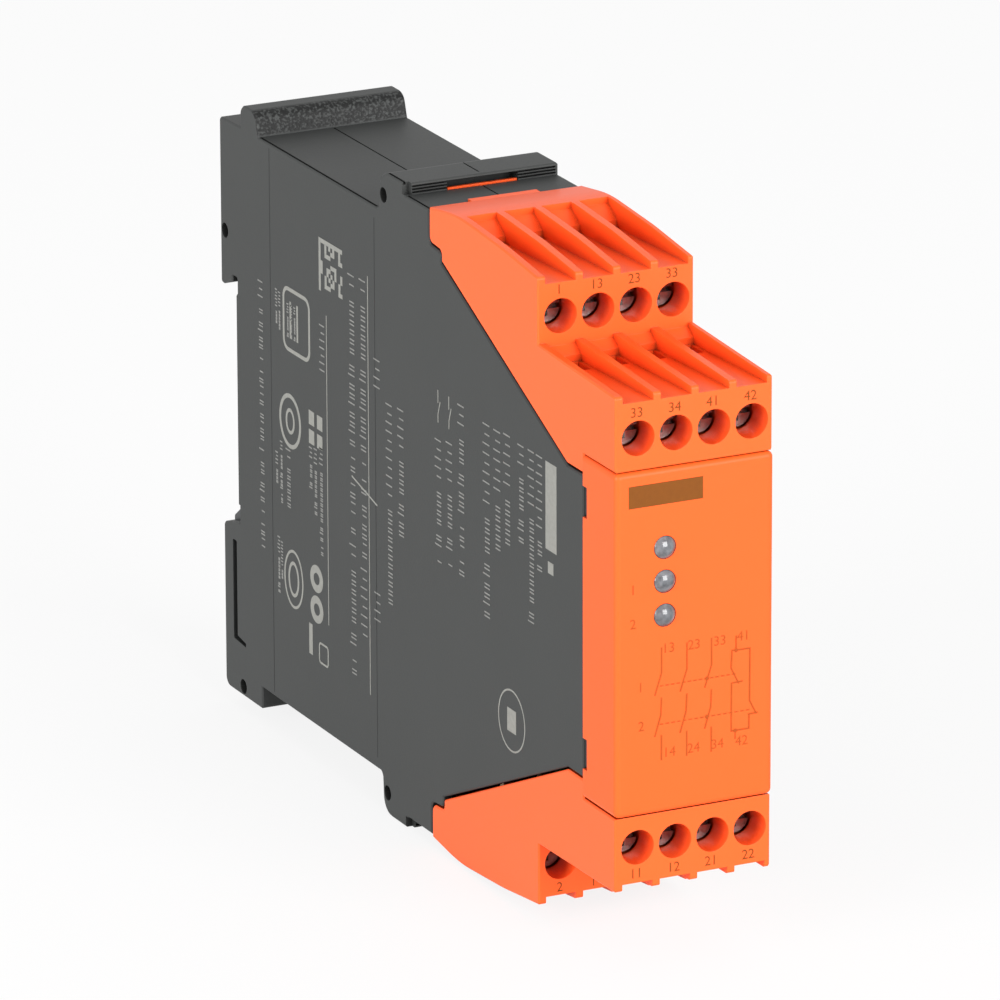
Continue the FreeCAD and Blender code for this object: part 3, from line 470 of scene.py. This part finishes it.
for depth in (49.0, 52.3):
    ink_bar(marks, depth, 18.6, 0.2, 1.8)
    ink_bar(marks, depth - 0.35, 17.1, 0.2, 1.9, math.radians(20))
    ink_bar(marks, depth, 15.6, 0.2, 1.2)
printed_piece("side_print_marks", marks, bold_ink)

# Painted shade: two thin dark strips on the side plate stand for the shade along faint steps at the edges of
# a shallow panel.
step_shade_ink = ink("painted_step_shade", (0.022, 0.023, 0.023, 1.0), 0.6, 0.1)
lines = bmesh.new()
ink_bar(lines, 104.85, 0.0, 0.1, 78.0)
ink_bar(lines, 71.7, 0.0, 0.08, 76.0)
printed_piece("side_step_shade_lines", lines, step_shade_ink)

# ---- terminal blocks -----------------------------------------------------------------------------------
# Two bright orange blocks with stepped tiers, each a single moulding: ribs between the wire
# funnels, round holes for the screwdriver, and plain numbers beside the holes.
ORANGE = (0.98, 0.108, 0.016, 1.0)
block_plastic = moulded_plastic("block_plastic", ORANGE, 0.38, 5200.0, 0.004 * MM, 0.015)
dress("terminal_block_top", block_plastic)
dress("terminal_block_bottom", block_plastic)

NUMERAL_SIZE = 1.89
number_ink = ink("number_ink", (0.17, 0.040, 0.001, 1.0), 0.6, 0.2)


def numeral(mesh, digits, x, depth, height):
    """Plain numeral, a film of ink on a face that looks to the front."""
    curve = bpy.data.curves.new("numeral", "FONT")
    curve.body = digits
    curve.size = NUMERAL_SIZE * MM
    curve.align_x = "CENTER"
    curve.align_y = "CENTER"
    curve.resolution_u = 3
    curve.extrude = INK * MM / 2
    shape = bpy.data.objects.new("numeral", curve)
    bpy.context.scene.collection.objects.link(shape)
    flat = bpy.data.meshes.new_from_object(shape.evaluated_get(bpy.context.evaluated_depsgraph_get()))
    bpy.data.objects.remove(shape)
    place = Vector((x, depth - SEAT_DEPTH - INK / 2, height)) * MM
    flat.transform(Matrix.Translation(place) @ Matrix.Rotation(math.radians(90), 4, "X"))
    mesh.from_mesh(flat)
    bpy.data.meshes.remove(flat)


PITCH = 5.42
ROW_OFFSET = 0.15
pole_places = [ROW_OFFSET + PITCH * (index - 1.5) for index in range(4)]
numbers = bmesh.new()
for depth, height, row in ((22.6, 40.95, ("1", "13", "23", "33")), (0.45, 30.6, ("33", "34", "41", "42")),
                           (0.45, -31.7, ("11", "12", "21", "22")), (22.6, -40.9, ("2", "14", "24", "34"))):
    for x, digits in zip(pole_places, row):
        numeral(numbers, digits, x - 0.2, depth, height)
printed_piece("terminal_numbers", numbers, number_ink)

# ---- terminal screws -----------------------------------------------------------------------------------
# Zinc-plated steel screws with a slot and a cross in the head. They sit deep in their holes.
def plated_steel(name, colour, roughness, streaks):
    """Plated steel with fine turning streaks and slightly uneven gloss."""
    material = bpy.data.materials.new(name)
    material.use_nodes = True
    tree = material.node_tree
    skin = tree.nodes["Principled BSDF"]
    skin.inputs["Metallic"].default_value = 1.0
    place = tree.nodes.new("ShaderNodeTexCoord")
    haze = tree.nodes.new("ShaderNodeTexNoise")
    haze.inputs["Scale"].default_value = streaks
    haze.inputs["Detail"].default_value = 5.0
    tree.links.new(place.outputs["Object"], haze.inputs["Vector"])
    tone = tree.nodes.new("ShaderNodeMix")
    tone.data_type = "RGBA"
    tone.inputs[6].default_value = [c * 0.55 for c in colour[:3]] + [1.0]
    tone.inputs[7].default_value = [min(1.0, c * 1.4) for c in colour[:3]] + [1.0]
    tree.links.new(haze.outputs["Fac"], tone.inputs[0])
    tree.links.new(tone.outputs[2], skin.inputs["Base Color"])
    gloss = tree.nodes.new("ShaderNodeMapRange")
    gloss.inputs["To Min"].default_value = roughness - 0.08
    gloss.inputs["To Max"].default_value = roughness + 0.12
    tree.links.new(haze.outputs["Fac"], gloss.inputs["Value"])
    tree.links.new(gloss.outputs[0], skin.inputs["Roughness"])
    relief = tree.nodes.new("ShaderNodeBump")
    relief.inputs["Strength"].default_value = 1.0
    relief.inputs["Distance"].default_value = 0.03 * MM
    tree.links.new(haze.outputs["Fac"], relief.inputs["Height"])
    tree.links.new(relief.outputs[0], skin.inputs["Normal"])
    return material


screw_steel = plated_steel("screw_steel", (0.36, 0.35, 0.34, 1.0), 0.16, 1500.0)
tiers = ("top_rear", "top_front", "bottom_front", "bottom_rear")
for tier in tiers:
    for pole in range(1, 5):
        dress("terminal_screw_" + tier + "_" + str(pole), screw_steel)

# ---- clamps and contact bars ---------------------------------------------------------------------------
# Plated steel box clamps, and contact bars of tinned copper alloy that lead to the main board.
clamp_steel = plated_steel("clamp_steel", (0.62, 0.62, 0.61, 1.0), 0.34, 1800.0)
bar_copper = plated_steel("bar_copper", (0.72, 0.48, 0.30, 1.0), 0.32, 2200.0)
for tier in tiers:
    dress("contact_bars_" + tier, bar_copper)
    for pole in range(1, 5):
        dress("clamp_cage_" + tier + "_" + str(pole), clamp_steel)

# ---- front cover ---------------------------------------------------------------------------------------
# Orange cover of the same plastic as the blocks, a little paler, printed with a plain bar, lamp
# numbers and the contact plan in brown-orange lines.
cover_plastic = moulded_plastic("cover_plastic", (0.98, 0.102, 0.013, 1.0), 0.42, 4600.0, 0.005 * MM, 0.012)
dress("front_cover", cover_plastic)
plan_ink = ink("plan_ink", (0.36, 0.058, 0.004, 1.0), 0.6, 0.12)
STROKE = 0.22
DOT_RADIUS = 0.28
DOT_FILM = INK * 5


def cover_stroke(mesh, x1, z1, x2, z2, width=STROKE):
    """One straight printed stroke; strokes that cross differ a little in thickness."""
    run = Vector((x2 - x1, z2 - z1))
    film = INK * (1 + len(mesh.verts) // 8 % 9 * FILM_STEP)
    place = Vector(((x1 + x2) / 2, -SEAT_DEPTH - film / 2, (z1 + z2) / 2)) * MM
    size = Matrix.Diagonal(((run.length + width * 0.6) * MM, film * MM, width * MM, 1.0))
    turn = Matrix.Rotation(-math.atan2(run.y, run.x), 4, "Y")
    bmesh.ops.create_cube(mesh, size=1.0, matrix=Matrix.Translation(place) @ turn @ size)


plan = bmesh.new()
for x, top in ((-4.8, -1.3), (-1.15, -1.2), (2.4, -1.1)):
    for line in (((0, top), (0, -4.7), (-0.95, -7.6)), ((0, -8.1), (-0.1, -10.4), (-0.95, -13.2)),
                 ((0, -13.2), (0, -16.5))):
        for (x1, z1), (x2, z2) in zip(line, line[1:]):
            cover_stroke(plan, x + x1, z1, x + x2, z2)
for line in (((5.94, -1.35), (5.94, -3.26)), ((5.94, -3.26), (5.35, -3.2), (5.23, -5.6), (6.32, -7.8)),
             ((5.38, -7.65), (6.83, -7.6)), ((5.3, -7.65), (5.27, -14.15)),
             ((5.94, -3.26), (7.95, -3.28), (7.92, -10.4), (8.89, -12.3)), ((7.75, -12.25), (9.05, -12.2)),
             ((7.86, -12.28), (7.84, -14.18)), ((5.27, -14.18), (7.84, -14.18)),
             ((5.86, -14.2), (5.86, -15.3))):
    for (x1, z1), (x2, z2) in zip(line, line[1:]):
        cover_stroke(plan, x1, z1, x2, z2)
for start, end, height in ((-5.0, 6.2, -6.45), (-5.0, 8.3, -11.65)):
    dashes = 14 if end < 7 else 16
    for index in range(dashes):
        low = start + (end - start) * index / dashes
        cover_stroke(plan, low, height, low + 0.4, height, 0.16)
for x, z in ((1.75, -6.45), (1.75, -11.65), (5.94, -3.26), (5.86, -14.2)):
    bmesh.ops.create_cone(plan, cap_ends=True, segments=16, radius1=DOT_RADIUS * MM,
                          radius2=DOT_RADIUS * MM, depth=DOT_FILM * MM,
                          matrix=Matrix.Translation(Vector((x, -SEAT_DEPTH - INK / 2, z)) * MM)
                          @ Matrix.Rotation(math.radians(90), 4, "X"))
for digits, x, z in (("13", -3.8, -1.5), ("23", -0.1, -1.6), ("33", 3.6, -1.65), ("41", 7.0, -1.5),
                     ("14", -3.65, -15.65), ("24", -0.15, -15.65), ("34", 3.3, -15.65), ("42", 6.8, -15.75),
                     ("1", -7.8, -6.3), ("2", -7.7, -11.6), ("1", -8.9, 7.0), ("2", -8.9, 2.4)):
    numeral(plan, digits, x, 0.0, z)
printed_piece("contact_plan", plan, plan_ink)

title = bmesh.new()
cover_stroke(title, -8.65, 19.5, 0.2, 19.5, 3.0)
printed_piece("title_bar", title, ink("title_ink", (0.17, 0.050, 0.002, 1.0), 0.6, 0.1))

# ---- indicator lights ----------------------------------------------------------------------------------
# Clear, unlit indicator lights with domed tips that stand a little out of the cover.
light_clear = bpy.data.materials.new("light_clear")
light_clear.use_nodes = True
tree = light_clear.node_tree
skin = tree.nodes["Principled BSDF"]
skin.inputs["Roughness"].default_value = 0.10
skin.inputs["Transmission Weight"].default_value = 0.2
skin.inputs["Coat Weight"].default_value = 0.25
skin.inputs["Coat Roughness"].default_value = 0.03
place = tree.nodes.new("ShaderNodeTexCoord")
cloud = tree.nodes.new("ShaderNodeTexNoise")
cloud.inputs["Scale"].default_value = 1300.0
cloud.inputs["Detail"].default_value = 2.0
shade = tree.nodes.new("ShaderNodeMix")
shade.data_type = "RGBA"
shade.inputs[6].default_value = (0.0, 0.0, 0.004, 1.0)
shade.inputs[7].default_value = (0.27, 0.28, 0.30, 1.0)
tree.links.new(place.outputs["Object"], cloud.inputs["Vector"])
tree.links.new(cloud.outputs["Fac"], shade.inputs[0])
tree.links.new(shade.outputs[2], skin.inputs["Base Color"])
for lamp in ("power", "channel_1", "channel_2"):
    dress("indicator_light_" + lamp, light_clear)

# ---- boards and components -----------------------------------------------------------------------------
# Green glass-fibre boards with relays in pale cases, a sleeved capacitor and dark components. They
# are closed in by the case, and show only through the wire holes.
board_green = moulded_plastic("board_green", (0.03, 0.17, 0.07, 1.0), 0.35, 2500.0, 0.004 * MM, 0.12)
relay_case = moulded_plastic("relay_case", (0.80, 0.78, 0.70, 1.0), 0.40, 3000.0, 0.004 * MM, 0.03)
component_black = moulded_plastic("component_black", (0.03, 0.03, 0.032, 1.0), 0.45, 3000.0, 0.005 * MM, 0.08)
sleeve_blue = moulded_plastic("capacitor_sleeve", (0.04, 0.05, 0.11, 1.0), 0.25, 1500.0, 0.002 * MM, 0.06)
limiter_blue = moulded_plastic("limiter_blue", (0.04, 0.14, 0.46, 1.0), 0.28, 1200.0, 0.004 * MM, 0.06)
for node, finish in (("main_board", board_green), ("light_board", board_green),
                     ("guided_relay_1", relay_case),
                     ("guided_relay_2", relay_case), ("supply_capacitor", sleeve_blue),
                     ("bridge_rectifier", component_black), ("surge_limiter", limiter_blue),
                     ("controller_chip_1", component_black), ("controller_chip_2", component_black)):
    dress(node, finish)

# ---- rail latch and spring -----------------------------------------------------------------------------
# Sprung latch of darker, smoother plastic than the case, and its bright steel spring.
latch_plastic = moulded_plastic("latch_plastic", (0.045, 0.047, 0.05, 1.0), 0.42, 3000.0, 0.006 * MM, 0.06)
dress("rail_latch", latch_plastic)
dress("latch_spring", plated_steel("spring_steel", (0.66, 0.66, 0.65, 1.0), 0.28, 2400.0))
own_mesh(nodes["latch_spring"])

low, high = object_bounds()
